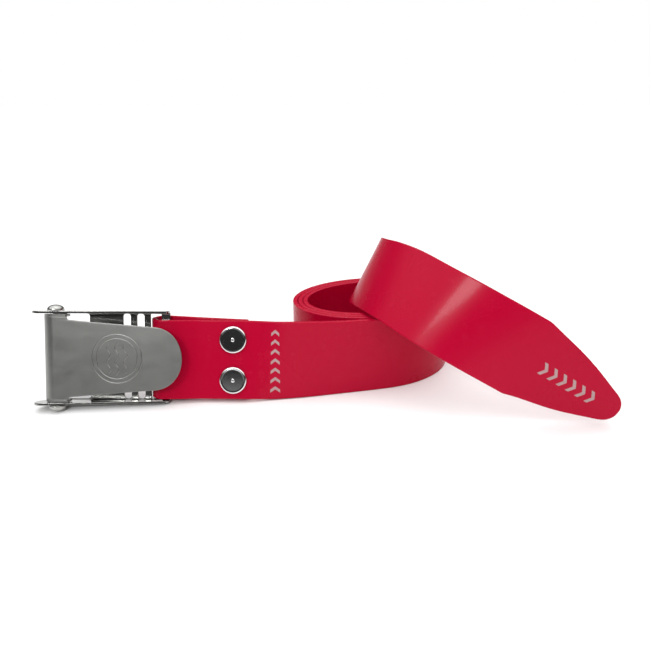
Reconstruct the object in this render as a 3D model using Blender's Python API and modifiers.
"""Dive weight belt: one moulded rubber strap, coiled and standing on its edge, with a pressed
steel lever buckle held in a riveted loop at its end.

Metres, +Z up. The belt stands on z = 0 with the middle of its footprint at the origin.
+X runs from the buckle to the tip of the strap, and +Y points to the back of the coil.
"""

from math import acos, ceil, cos, hypot, pi, radians, sin, sqrt

import bmesh
import bpy
from mathutils import Matrix, Vector

MM = 0.001

# Clearances
TOUCH_GAP = 0.3 * MM  # between pieces, or plies, that lie on each other
HINGE_GAP = 0.5 * MM  # between a lever lug and the ear beside it
SLOT_PLAY = 2.2 * MM  # free space beyond each edge of the strap in the frame's slots

# Strap
STRAP_W = 50 * MM
STRAP_T = 3.2 * MM
TIP_R = 9.5 * MM
TIP_TAPER = 64 * MM
TIP_BULGE = 1.6 * MM  # how far the tapered sides stand out from straight
PLY = STRAP_T + TOUCH_GAP  # centre to centre of two plies that lie on each other
TIP_RUN = TIP_TAPER - TIP_R
# The tapered sides touch the tip's round end without a kink
TAPER_ANGLE = acos(TIP_R / hypot(STRAP_W / 2, TIP_RUN)) - acos(STRAP_W / 2 / hypot(STRAP_W / 2, TIP_RUN))

# Coil: an oval spiral, wound inwards and seen anticlockwise from above
COIL_A = 57.7 * MM  # half of the long axis of the outer turn's centreline
COIL_B = 44.1 * MM
COIL_TURN = radians(20)  # angle of the long axis from +X
COIL_START = radians(-101)
COIL_TURNS = 3.05

# Loop around the buckle's end bar, and the rivets that close it
LOOP_INNER_R = 3.1 * MM
LOOP_SLACK = 2.4 * MM  # from the end bar's middle to the loop's: the strap is folded round it loosely
LOOP_CLOSES = 27.4 * MM  # from the loop's middle, where the two plies come together
LOOP_SKEW = 2.6 * MM  # the rear ply is folded over a little above the front one
REAR_SKEW = 0.5 * MM  # the same, at the rear ply's end
RIVETS_AT = 45.4 * MM  # from the loop's middle
RIVET_SPACING = 25.7 * MM
PLY_PAST_RIVETS = 9 * MM
RIVET_R = 8.6 * MM
RIVET_CAP_T = 1.7 * MM
RIVET_BEVEL = 0.7 * MM
RIVET_TUBE_R = 2.7 * MM
RIVET_STEM_R = 1.7 * MM
DIMPLE_R = 1.1 * MM

# Buckle, in its own frame: u from the end bar to the hinge, w across, n out towards the wearer's hand
SHEET_T = 1.5 * MM
FRAME_LENGTH = 81.5 * MM
END_BAR_W = 5.4 * MM
LOOP_SLOT_W = 6.8 * MM
LOOP_SLOT_CORNER_R = 0.8 * MM
CROSS_BAR_W = 4.0 * MM
SLOT_W = 4.6 * MM
SLOT_COUNT = 2
SOLID_PLATE_L = 21.0 * MM
WINDOW_L = 15.0 * MM
FRONT_BAR_W = 4.0 * MM
EAR_DEPTH = 14.2 * MM  # from the plate's front face, at the hinge
EAR_END_DEPTH = 6.5 * MM  # at the end bar
EAR_CORNER_R = 3.5 * MM
LOBE_R = 5.5 * MM
SLOT_CORNER_R = 2.0 * MM
SLOT_TO_EAR = 0.3 * MM
BEND_R = 1.0 * MM  # inside radius of the ears' bend

PIN_FROM_LOBE_END = 14.7 * MM
PIN_HEIGHT = 10.4 * MM  # above the plate's front face
PIN_R = 1.75 * MM
PIN_HEAD_R = 5.0 * MM
PIN_HEAD_H = 3.6 * MM
PIN_HOLE_GAP = 0.08 * MM

LEVER_REACH = 76.8 * MM  # from the pin to the lever's tip
LEVER_TIP_R = 19.5 * MM
LEVER_TIP_SHAPE = 2.3  # 2 is an ellipse, more is squarer
LEVER_ROOT_W = 47.6 * MM
LEVER_WAIST_W = 39.2 * MM
LUG_AHEAD = 7.6 * MM  # length of the lugs beyond the pin
LUG_BEHIND = 7.4 * MM
LUG_DEPTH = 8.4 * MM
LUG_CORNER_R = 2.0 * MM
ROLL_R = 7.2 * MM  # radius of the lever's rounded end, on the sheet's middle
ROLL_ENDS = 25  # degrees above the plate's plane, where the curl takes over from the roll
CURL_R = 3.2 * MM  # radius of the curl that follows it and grips the strap
CURL_TAIL = 2.5 * MM
BADGE_R = 15.5 * MM
BADGE_H = 0.6 * MM
BADGE_FROM_PIN = 37.5 * MM

# How finely round shapes and the strap's route are divided
HOLE_SIDES = 24
RIVET_SIDES = 32
BADGE_SIDES = 40
STATIONS_PER_TURN = 24
STATION_STEP = 7 * MM
OVERCUT = 5 * MM  # how far a cutter runs past what it cuts
CUT_MARGIN = 0.05 * MM  # keeps two faces from lying in one plane

# Where the buckle and the free end lie, from the middle of the coil
LOOP_POINT = Vector((-136.4, -53.6, 25.7)) * MM  # middle of the strap's loop round the end bar
BUCKLE_YAW = radians(2)
BUCKLE_LEAN = radians(17.5)
BUCKLE_ROLL = radians(1.1)  # the hinge end rests on its pin's head, so it sits higher
STRAP_YAW = radians(-0.5)
STRAP_DIP = radians(-1.2)
STRAIGHT = 55.4 * MM  # flat stretch of the strap behind the loop's middle

# Middle of the strap in mm from the coil's middle, then the tilt of its width towards +X and +Y in degrees
FRONT_RUN = (
    (-64, -54.5, 24.9, 1, 12),
    (-45, -53.6, 25.1, 0, 6),
    (-22, -50.4, 25.1, 0, 1),
)
LAST_TURN = (
    (33, -15, 28.0, 5, 1),
    (39, 2, 35.0, 14, 4),
    (36, 19, 43.0, 21, 8),
    (22, 28, 51.5, 26, 11),
    (6, 25, 60.5, 27, 13),
    (-2.5, 9, 66.5, 27, 15),
    (-2.5, -7, 69.5, 27, 16),
    (4, -29, 72.5, 28, 16),
    (14, -48, 72.3, 30, 16),
    (30, -65, 66.5, 31, 14),
    (50, -76, 57.5, 31, 10),
    (84, -85, 40.0, 30, 2),
    (111, -88, 24.2, 30, 0),
    (138.5, -91, 8.4, 30, 0),
)

PLATE_HALF = STRAP_W / 2 + SLOT_PLAY  # half the slots' length
EAR_INNER = PLATE_HALF + SLOT_TO_EAR
EAR_OUTER = EAR_INNER + SHEET_T
PIN_U = FRAME_LENGTH - PIN_FROM_LOBE_END
LUG_OUTER = EAR_INNER - HINGE_GAP
FACE_OUTER = PIN_HEIGHT + PIN_R + TOUCH_GAP + SHEET_T  # the lever's outer face

COLOURS = {
    "rubber": ((0.50, 0.0, 0.03, 1), 0.35, 0.0),
    "steel": ((0.30, 0.30, 0.28, 1), 0.35, 1.0),
    "bright_steel": ((0.62, 0.62, 0.61, 1), 0.15, 1.0),
}


# ---------------------------------------------------------------- scene helpers


def clear_scene():
    for item in list(bpy.data.objects):
        bpy.data.objects.remove(item, do_unlink=True)


def collection(name):
    made = bpy.data.collections.new(name)
    bpy.context.scene.collection.children.link(made)
    return made


def material(name, look):
    colour, roughness, metallic = COLOURS[look]
    made = bpy.data.materials.new(name)
    made.use_nodes = True
    shader = made.node_tree.nodes["Principled BSDF"]
    shader.inputs["Base Color"].default_value = colour
    shader.inputs["Roughness"].default_value = roughness
    shader.inputs["Metallic"].default_value = metallic
    return made


def add_part(name, mesh, look, parent, group):
    """An object for one sub-part, with a material of its own."""
    made = bpy.data.objects.new(name, mesh)
    made.data.materials.clear()
    made.data.materials.append(material(name, look))
    made.parent = parent
    group.objects.link(made)
    return made


def empty(name, parent, group):
    made = bpy.data.objects.new(name, None)
    made.parent = parent
    group.objects.link(made)
    return made


def mesh_of(source):
    """The evaluated mesh of an object, with a curve's loose caps welded. The object is removed."""
    bpy.context.view_layer.update()
    seen = source.evaluated_get(bpy.context.evaluated_depsgraph_get())
    made = bpy.data.meshes.new_from_object(seen)
    made.transform(source.matrix_world)
    bpy.data.objects.remove(source, do_unlink=True)
    bm = bmesh.new()
    bm.from_mesh(made)
    bmesh.ops.remove_doubles(bm, verts=bm.verts, dist=0.002 * MM)
    bmesh.ops.recalc_face_normals(bm, faces=bm.faces)
    bm.to_mesh(made)
    bm.free()
    return made


def plate(outlines, thickness):
    """A flat plate from closed 2D outlines, centred on z = 0. Outlines inside others are holes."""
    curve = bpy.data.curves.new("outline", "CURVE")
    curve.dimensions = "2D"
    curve.fill_mode = "BOTH"
    curve.extrude = thickness / 2
    for outline in outlines:
        spline = curve.splines.new("POLY")
        spline.points.add(len(outline) - 1)
        for point, (x, y) in zip(spline.points, outline):
            point.co = (x, y, 0, 1)
        spline.use_cyclic_u = True
    source = bpy.data.objects.new("outline", curve)
    bpy.context.scene.collection.objects.link(source)
    return mesh_of(source)


def turned(profile, steps):
    """A solid turned about Z from (radius, height) points that run from the top down its outer side."""
    mesh = bpy.data.meshes.new("profile")
    bm = bmesh.new()
    points = [bm.verts.new((r, 0, z)) for r, z in profile]
    for a, b in zip(points, points[1:]):
        bm.edges.new((a, b))
    bm.to_mesh(mesh)
    bm.free()
    source = bpy.data.objects.new("profile", mesh)
    bpy.context.scene.collection.objects.link(source)
    screw = source.modifiers.new("turn", "SCREW")
    screw.steps = steps
    screw.render_steps = steps
    screw.use_merge_vertices = True
    screw.merge_threshold = 0.005 * MM
    return mesh_of(source)


def drill(radius, sides):
    """A straight round cutter along Z, long enough for any hole of the buckle or strap."""
    reach = EAR_OUTER + OVERCUT
    return turned([(0, reach), (radius, reach), (radius, -reach), (0, -reach)], sides)


def cutter(name, mesh, group, parent):
    made = bpy.data.objects.new(name, mesh)
    made.parent = parent
    made.hide_render = True
    made.display_type = "WIRE"
    group.objects.link(made)
    return made


def combine(target, tool, operation):
    step = target.modifiers.new(operation.lower(), "BOOLEAN")
    step.operation = operation
    step.object = tool
    step.solver = "EXACT"


# ---------------------------------------------------------------- outlines


def arc(cx, cy, radius, start, end, segments):
    """Points of an arc, from one angle to the other in degrees."""
    turns = [radians(start + (end - start) * i / segments) for i in range(segments + 1)]
    return [(cx + radius * cos(a), cy + radius * sin(a)) for a in turns]


def rounded_box(x0, x1, y0, y1, radius, segments=5):
    return (
        arc(x1 - radius, y0 + radius, radius, -90, 0, segments)
        + arc(x1 - radius, y1 - radius, radius, 0, 90, segments)
        + arc(x0 + radius, y1 - radius, radius, 90, 180, segments)
        + arc(x0 + radius, y0 + radius, radius, 180, 270, segments)
    )


# ---------------------------------------------------------------- strap


def spiral_point(angle):
    """A point of the coil's centreline; every full turn brings it one ply further in."""
    inward = PLY * (angle - COIL_START) / (2 * pi)
    x = (COIL_A - inward) * cos(angle)
    y = (COIL_B - inward) * sin(angle)
    return Vector(
        (x * cos(COIL_TURN) - y * sin(COIL_TURN), x * sin(COIL_TURN) + y * cos(COIL_TURN), STRAP_W / 2)
    )


def tilted(tilt_x, tilt_y):
    """An upward direction tilted by degrees towards +X and +Y."""
    a = radians(tilt_x)
    b = radians(tilt_y)
    return Vector((sin(a), cos(a) * sin(b), cos(a) * cos(b)))


def smooth(controls, step):
    """Points about a step apart on a smooth curve through (point, width direction) controls."""
    found = []
    last = len(controls) - 1
    for i in range(last):
        (p0, w0), (p1, w1), (p2, w2), (p3, w3) = (
            controls[min(max(k, 0), last)] for k in (i - 1, i, i + 1, i + 2)
        )
        length = (p2 - p1).length
        before = (p1 - p0).length or length
        after = (p3 - p2).length or length
        share_in = length / (length + before)
        share_out = length / (length + after)
        count = max(1, ceil(length / step))
        for k in range(count):
            t = k / count
            h1 = 2 * t**3 - 3 * t**2 + 1
            h2 = t**3 - 2 * t**2 + t
            h3 = 3 * t**2 - 2 * t**3
            h4 = t**3 - t**2
            point = p1 * h1 + (p2 - p0) * share_in * h2 + p2 * h3 + (p3 - p1) * share_out * h4
            width = w1 * h1 + (w2 - w0) * share_in * h2 + w2 * h3 + (w3 - w1) * share_out * h4
            found.append((point, width))
    found.append(controls[-1])
    return found


def buckle_axes():
    """The buckle's directions: u from end bar to hinge, n outwards, w up along the bar."""
    u = Vector((-cos(BUCKLE_YAW), -sin(BUCKLE_YAW), 0))
    flat_n = Vector((sin(BUCKLE_YAW), -cos(BUCKLE_YAW), 0))
    up = Vector((0, 0, 1))
    n = flat_n * cos(BUCKLE_LEAN) + up * sin(BUCKLE_LEAN)
    w = up * cos(BUCKLE_LEAN) - flat_n * sin(BUCKLE_LEAN)
    raised_u = u * cos(BUCKLE_ROLL) + w * sin(BUCKLE_ROLL)
    raised_w = w * cos(BUCKLE_ROLL) - u * sin(BUCKLE_ROLL)
    return raised_u, n, raised_w


def strap_axes():
    """The flat stretch behind the bar: its direction, its outward normal and its width."""
    width = buckle_axes()[2]
    along = Vector((cos(STRAP_YAW), sin(STRAP_YAW), sin(STRAP_DIP)))
    along = (along - width * along.dot(width)).normalized()
    return along, along.cross(width), width


def ply_offset(distance):
    """How far a ply's middle lies from the loop's mid-plane, at a distance behind the loop's middle."""
    wide = LOOP_INNER_R + STRAP_T / 2
    if distance >= LOOP_CLOSES:
        return PLY / 2
    share = distance / LOOP_CLOSES
    ease = share * share * (3 - 2 * share)
    return wide + (PLY / 2 - wide) * ease


def squared(width, before, after):
    """A width direction made square to the strap's direction there."""
    heading = (after - before).normalized()
    return (width - heading * width.dot(heading)).normalized()


def strap_stations():
    """The strap's centreline from the end of the rear ply to the tip, as (point, width direction).

    In the loop the width stays parallel to the bar, although the strap winds round it at a slant.
    """
    along, out, width = strap_axes()
    loop_r = LOOP_INNER_R + STRAP_T / 2
    rear_end = RIVETS_AT + PLY_PAST_RIVETS
    closing = [LOOP_CLOSES * i / 6 for i in range(1, 7)]
    found = []
    for distance in [rear_end, (rear_end + LOOP_CLOSES) / 2, *reversed(closing)]:
        skew = LOOP_SKEW + (REAR_SKEW - LOOP_SKEW) * distance / rear_end
        middle = LOOP_POINT + along * distance + width * skew
        found.append((middle - out * ply_offset(distance), width))
    for i in range(13):
        angle = pi * i / 12
        bar_side = LOOP_POINT + width * LOOP_SKEW * (1 - i / 12)
        found.append((bar_side - along * loop_r * sin(angle) - out * loop_r * cos(angle), width))
    for distance in closing:
        found.append((LOOP_POINT + along * distance + out * ply_offset(distance), width))

    controls = [
        (LOOP_POINT + along * distance + out * PLY / 2, width)
        for distance in (LOOP_CLOSES, RIVETS_AT, STRAIGHT)
    ]
    for x, y, z, tilt_x, tilt_y in FRONT_RUN:
        controls.append((Vector((x, y, z)) * MM, tilted(tilt_x, tilt_y)))
    for i in range(round(COIL_TURNS * STATIONS_PER_TURN) + 1):
        angle = COIL_START + 2 * pi * i / STATIONS_PER_TURN
        controls.append((spiral_point(angle), Vector((0, 0, 1))))
    for x, y, z, tilt_x, tilt_y in LAST_TURN:
        controls.append((Vector((x, y, z)) * MM, tilted(tilt_x, tilt_y)))
    free = smooth(controls, STATION_STEP)
    for i in range(1, len(free)):
        point, width = free[i]
        after = free[min(i + 1, len(free) - 1)][0]
        found.append((point, squared(width, free[i - 1][0], after)))
    return found


def finished_stations():
    """Stations with their distance from the tip, the tip's stretch divided finely."""
    rough = strap_stations()
    steps = [(b[0] - a[0]).length for a, b in zip(rough, rough[1:])]
    total = sum(steps)
    fine = [TIP_R * (1 - cos(pi / 2 * i / 6)) for i in range(1, 7)]
    found = []
    travelled = 0
    for (point, width), step in zip(rough, [*steps, 0]):
        if total - travelled > fine[-1] + 1 * MM:
            found.append((point, width, total - travelled))
        travelled += step
    end, end_width = rough[-1]
    heading = (end - rough[-2][0]).normalized()
    for left in reversed(fine):
        found.append((end - heading * left, end_width, left))
    return found, total


def half_width(left):
    """Half the strap's width at a distance from its tip."""
    if left < TIP_R * (1 - sin(TAPER_ANGLE)):
        return sqrt(max(TIP_R**2 - (TIP_R - left) ** 2, 0))
    share = min(left / TIP_TAPER, 1)
    straight = (TIP_R + (left - TIP_R) * sin(TAPER_ANGLE)) / cos(TAPER_ANGLE)
    return min(STRAP_W / 2, straight + TIP_BULGE * sin(pi * share) ** 2)


def strap_mesh():
    """A flat grid laid along the route; Solidify gives it its thickness later."""
    stations, total = finished_stations()
    bm = bmesh.new()
    bmesh.ops.create_grid(bm, x_segments=len(stations) - 1, y_segments=2, size=1)
    for vert in bm.verts:
        i = round((vert.co.x + 1) / 2 * (len(stations) - 1))
        side = vert.co.y
        point, width, left = stations[i]
        vert.co = point + width * half_width(left) * side
    mesh = bpy.data.meshes.new("strap")
    bm.to_mesh(mesh)
    bm.free()
    print(f"strap length {total / MM:.0f} mm, {len(stations)} stations")
    return mesh


def make_strap(parent, parts, cutters):
    strap = add_part("strap", strap_mesh(), "rubber", parent, parts)
    thick = strap.modifiers.new("thickness", "SOLIDIFY")
    thick.thickness = STRAP_T
    thick.offset = 0
    thick.use_even_offset = True
    for number in (1, 2):
        bore = drill(RIVET_TUBE_R + TOUCH_GAP, HOLE_SIDES)
        hole = cutter(f"rivet_hole_{number}", bore, cutters, parent)
        hole.matrix_local = rivet_place(number)
        combine(strap, hole, "DIFFERENCE")


# ---------------------------------------------------------------- rivets


def rivet_place(number):
    """The frame of rivet 1 (upper) or 2 (lower): z outwards, at the middle of the two plies."""
    along, out, width = strap_axes()
    side = RIVET_SPACING / 2 * (1 if number == 1 else -1)
    middle = LOOP_POINT + along * RIVETS_AT + width * side
    turn = Matrix((along, width, out)).transposed().to_4x4()
    turn.translation = middle
    return turn


def make_rivet(number, parent, parts):
    """A cap with a stem in front, and a cap with a tube that grips the stem behind."""
    seat = PLY / 2 + STRAP_T / 2 + TOUCH_GAP  # from the middle of the plies to a cap's underside
    top = seat + RIVET_CAP_T
    front = turned(
        [
            (0, top - DIMPLE_R / 2),
            (DIMPLE_R, top),
            (RIVET_R - RIVET_BEVEL, top),
            (RIVET_R, top - RIVET_BEVEL),
            (RIVET_R, seat),
            (RIVET_STEM_R, seat),
            (RIVET_STEM_R, -seat + TOUCH_GAP),
            (0, -seat + TOUCH_GAP),
        ],
        RIVET_SIDES,
    )
    bore = RIVET_STEM_R + TOUCH_GAP
    back = turned(
        [
            (bore, seat - TOUCH_GAP),
            (RIVET_TUBE_R, seat - TOUCH_GAP),
            (RIVET_TUBE_R, -seat),
            (RIVET_R, -seat),
            (RIVET_R, -top + RIVET_BEVEL),
            (RIVET_R - RIVET_BEVEL, -top),
            (0, -top),
            (0, -seat),
            (bore, -seat),
            (bore, seat - TOUCH_GAP),
        ],
        RIVET_SIDES,
    )
    for name, mesh in ((f"rivet_cap_{number}", front), (f"rivet_back_{number}", back)):
        piece = add_part(name, mesh, "bright_steel", parent, parts)
        piece.matrix_local = rivet_place(number)


# ---------------------------------------------------------------- buckle


def channel_mesh():
    """The bent sheet before cutting: a plate with an ear along each side, open to +n (+Z)."""
    turn = BEND_R + SHEET_T / 2
    middle = EAR_INNER + SHEET_T / 2
    corner = arc(middle - turn, -SHEET_T / 2 + turn, turn, -90, 0, 4)
    side = [(0, -SHEET_T / 2), *corner, (middle, EAR_DEPTH)]
    line = [(-x, z) for x, z in reversed(side[1:])] + side
    bm = bmesh.new()
    bmesh.ops.create_grid(bm, x_segments=1, y_segments=len(line) - 1, size=1)
    for vert in bm.verts:
        y, z = line[round((vert.co.y + 1) / 2 * (len(line) - 1))]
        vert.co = (FRAME_LENGTH * (vert.co.x + 1) / 2, y, z)
    mesh = bpy.data.meshes.new("channel")
    bm.to_mesh(mesh)
    bm.free()
    return mesh


def ear_outline():
    """Side view of the frame: square at the end bar, a round lobe past the hinge."""
    low = -SHEET_T
    lobe_u = FRAME_LENGTH - LOBE_R
    lobe_n = EAR_DEPTH - LOBE_R
    return (
        [(lobe_u - LOBE_R, low), (0, low)]
        + arc(EAR_CORNER_R, EAR_END_DEPTH - EAR_CORNER_R, EAR_CORNER_R, 180, 95, 6)
        + arc(lobe_u, lobe_n, LOBE_R, 95, -70, 12)
    )


def pin_drill():
    """The cutter for the hinge pin's holes, along the pin."""
    made = drill(PIN_R + PIN_HOLE_GAP, HOLE_SIDES)
    made.transform(Matrix.Rotation(radians(90), 4, "X"))
    return made


def slot_spans():
    """(start, end) along u of the loop slot, the spare slots and the window."""
    spans = [(END_BAR_W, END_BAR_W + LOOP_SLOT_W)]
    for _ in range(SLOT_COUNT):
        start = spans[-1][1] + CROSS_BAR_W
        spans.append((start, start + SLOT_W))
    start = spans[-1][1] + SOLID_PLATE_L
    spans.append((start, start + WINDOW_L))
    return spans


def make_frame(parent, parts, cutters):
    frame = add_part("buckle_frame", channel_mesh(), "steel", parent, parts)
    frame.location = (-END_BAR_W / 2, 0, SHEET_T / 2)
    thick = frame.modifiers.new("sheet", "SOLIDIFY")
    thick.thickness = SHEET_T
    thick.offset = 0
    thick.use_even_offset = True

    sides = plate([ear_outline()], 2 * (EAR_OUTER + OVERCUT))
    sides.transform(Matrix.Rotation(radians(90), 4, "X"))
    combine(frame, cutter("ear_shape", sides, cutters, frame), "INTERSECT")

    spans = slot_spans()
    outlines = [
        rounded_box(a, b, -PLATE_HALF, PLATE_HALF, SLOT_CORNER_R) for a, b in spans[1:]
    ]
    outlines.append(rounded_box(*spans[0], -PLATE_HALF, PLATE_HALF, LOOP_SLOT_CORNER_R))
    open_end = spans[-1][1] + FRONT_BAR_W
    outlines.append(
        rounded_box(open_end, FRAME_LENGTH + OVERCUT, -PLATE_HALF, PLATE_HALF, LOOP_SLOT_CORNER_R)
    )
    for number, outline in enumerate(outlines):
        hole = cutter(f"frame_cut_{number}", plate([outline], 2 * OVERCUT), cutters, frame)
        combine(frame, hole, "DIFFERENCE")

    hole = cutter("frame_pin_hole", pin_drill(), cutters, frame)
    hole.location = (PIN_U, 0, PIN_HEIGHT)
    combine(frame, hole, "DIFFERENCE")
    return frame


def lever_side_line():
    """Side view of the lever's sheet from its tip to the end of its curl, from the pin's middle."""
    face = FACE_OUTER - SHEET_T / 2 - PIN_HEIGHT
    roll_u = LUG_AHEAD - ROLL_R
    roll = arc(roll_u, face - ROLL_R, ROLL_R, 90, ROLL_ENDS, 6)
    end_u, end_n = roll[-1]
    curl_u = end_u - CURL_R * cos(radians(ROLL_ENDS))
    curl_n = end_n - CURL_R * sin(radians(ROLL_ENDS))
    curl = arc(curl_u, curl_n, CURL_R, ROLL_ENDS, -90, 8)
    return roll + curl[1:] + [(curl_u - CURL_TAIL, curl_n - CURL_R)], face


def lever_half_width(u):
    """Half width of the lever's face, u measured from the pin towards the tip as negative."""
    straight_end = -LEVER_REACH + LEVER_TIP_R
    if u < straight_end:
        out = (straight_end - u) / LEVER_TIP_R
        return LEVER_WAIST_W / 2 * (1 - min(out, 1) ** LEVER_TIP_SHAPE) ** 0.5
    share = (u - straight_end) / (-LUG_BEHIND - straight_end)
    return LEVER_WAIST_W / 2 + (LEVER_ROOT_W - LEVER_WAIST_W) / 2 * min(share, 1)


def make_lever(parent, parts, cutters):
    rolled, face = lever_side_line()
    tip = [
        (-LEVER_REACH + LEVER_TIP_R * (1 - sin(pi / 2 * i / 9)), face) for i in range(9, 0, -1)
    ]
    tip[0] = (tip[0][0] + CUT_MARGIN, face)  # a blunt end in place of a point
    body = [(-LEVER_REACH + LEVER_TIP_R, face), (-LUG_BEHIND - 2 * MM, face), (-LUG_BEHIND, face)]
    line = tip + body + rolled
    bm = bmesh.new()
    bmesh.ops.create_grid(bm, x_segments=len(line) - 1, y_segments=2, size=1)
    for vert in bm.verts:
        i = round((vert.co.x + 1) / 2 * (len(line) - 1))
        u, n = line[i]
        half = lever_half_width(u) if i < len(tip) + 2 else LUG_OUTER - SHEET_T / 2
        vert.co = (u, half * vert.co.y, n)
    mesh = bpy.data.meshes.new("lever")
    bm.to_mesh(mesh)
    bm.free()
    lever = add_part("buckle_lever", mesh, "steel", parent, parts)
    thick = lever.modifiers.new("sheet", "SOLIDIFY")
    thick.thickness = SHEET_T
    thick.offset = 0
    thick.use_even_offset = True

    lug_top = face + SHEET_T / 2 - CUT_MARGIN
    lug = rounded_box(-LUG_BEHIND, LUG_AHEAD, lug_top - LUG_DEPTH, lug_top, LUG_CORNER_R)
    for side, name in ((1, "lug_top"), (-1, "lug_bottom")):
        cheek = plate([lug], SHEET_T)
        cheek.transform(Matrix.Rotation(radians(90), 4, "X"))
        cheek.transform(Matrix.Translation((0, side * (LUG_OUTER - SHEET_T / 2), 0)))
        combine(lever, cutter(name, cheek, cutters, lever), "UNION")

    badge_top = face + SHEET_T / 2 + BADGE_H
    badge_line = [(0, badge_top), (BADGE_R - BADGE_H, badge_top), (BADGE_R, face), (0, face)]
    badge = turned(badge_line, BADGE_SIDES)
    raised = cutter("badge", badge, cutters, lever)
    raised.location = (-BADGE_FROM_PIN, 0, 0)
    combine(lever, raised, "UNION")

    combine(lever, cutter("lever_pin_hole", pin_drill(), cutters, lever), "DIFFERENCE")
    return lever


def make_pin(parent, parts):
    """A headed pin, domed at both ends once it is riveted over."""
    under = EAR_OUTER + TOUCH_GAP
    dome = [
        (PIN_HEAD_R * sin(pi / 2 * i / 6), under + PIN_HEAD_H * cos(pi / 2 * i / 6)) for i in range(7)
    ]
    top = [*dome, (PIN_R, under)]
    profile = top + [(r, -z) for r, z in reversed(top)]
    mesh = turned(profile, HOLE_SIDES)
    mesh.transform(Matrix.Rotation(radians(-90), 4, "X"))
    return add_part("hinge_pin", mesh, "bright_steel", parent, parts)


# ---------------------------------------------------------------- assembly


def stand_on_origin(root, parts):
    """Moves the whole belt so that it stands on z = 0 with its footprint's middle at the origin."""
    bpy.context.view_layer.update()
    graph = bpy.context.evaluated_depsgraph_get()
    corners = []
    for item in parts.objects:
        if item.type == "MESH":
            seen = item.evaluated_get(graph)
            corners += [seen.matrix_world @ v.co for v in seen.data.vertices]
    low = [min(c[i] for c in corners) for i in range(3)]
    high = [max(c[i] for c in corners) for i in range(3)]
    root.location = (-(low[0] + high[0]) / 2, -(low[1] + high[1]) / 2, -low[2])
    bpy.context.view_layer.update()
    size = [(b - a) / MM for a, b in zip(low, high)]
    print("belt size in mm", [round(s, 1) for s in size])
    print("root moved by mm", [round(v / MM, 2) for v in root.location])


def main():
    clear_scene()
    parts = collection("dive_weight_belt")
    cutters = collection("cutters")
    root = empty("belt_root", None, parts)
    make_strap(root, parts, cutters)
    for number in (1, 2):
        make_rivet(number, root, parts)

    u, n, w = buckle_axes()
    bar_axis = empty("bar_axis", root, parts)
    place = Matrix((u, w * -1, n)).transposed().to_4x4()
    strap_lies_low = SLOT_PLAY - 2 * TOUCH_GAP
    place.translation = LOOP_POINT - u * LOOP_SLACK + w * strap_lies_low
    bar_axis.matrix_local = place
    make_frame(bar_axis, parts, cutters)
    pin_axis = empty("pin_axis", bar_axis, parts)
    pin_axis.location = (PIN_U - END_BAR_W / 2, 0, PIN_HEIGHT + SHEET_T / 2)
    make_pin(pin_axis, parts)
    make_lever(pin_axis, parts, cutters)

    stand_on_origin(root, parts)
    for item in parts.objects:
        if item.type == "MESH":
            item.data.shade_smooth()
            item.data.set_sharp_from_angle(angle=radians(30))
    for joint in (bar_axis, pin_axis):
        at = joint.matrix_world.translation
        axis = joint.matrix_world.to_3x3() @ Vector((0, 1, 0))
        print(joint.name, "at", [round(v, 5) for v in at], "axis", [round(v, 5) for v in axis])


main()
